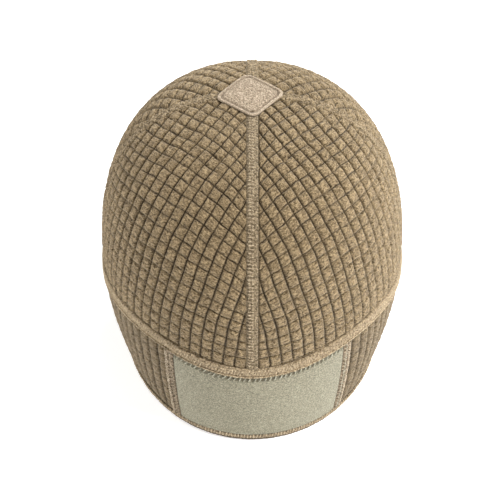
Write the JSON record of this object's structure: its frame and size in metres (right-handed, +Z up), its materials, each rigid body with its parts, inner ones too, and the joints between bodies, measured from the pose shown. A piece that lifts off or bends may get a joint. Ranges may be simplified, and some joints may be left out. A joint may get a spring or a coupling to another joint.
{
  "type": "fleece beanie",
  "caption": "Close-fitting beanie of grid fleece with gored crown, raised flat seams, a small crown patch and a band with a loop-faced panel at the front.",
  "frame": {"origin": "on the floor under the middle of the beanie's overall box, with the rim standing on the floor at z = 0", "axes": "+Z up through the crown; -Y the front, where the loop panel is; +X the right of the picture, which is the wearer's left"},
  "size_m": [0.1712, 0.1986, 0.164],
  "materials": {
    "fleece": "tan grid fleece: soft brushed squares with dark grooves between them, fully matt",
    "seam": "flat overlocked seam, tan thread packed closely over the cloth, matt",
    "patch": "smooth pale tan suede-like cloth, matt, with a line of stitches inside its edge",
    "backing": "plain tan knit backing, matt",
    "loop": "sage green brushed loop cloth, fuzzy and matt",
    "hem": "folded tan edge with overlock stitches, matt"
  },
  "bodies": {
    "root": {"crown_panel_front_right": "fleece", "crown_panel_back_right": "fleece", "crown_panel_back_left": "fleece", "crown_panel_front_left": "fleece", "crown_seam_front_back": "seam", "crown_seam_right": "seam", "crown_seam_left": "seam", "crown_patch": "patch", "band_seam": "seam", "band": "fleece", "band_front": "backing", "loop_panel": "loop", "panel_seam_right": "seam", "panel_seam_left": "seam", "hem": "hem"}
  },
  "joints": []
}
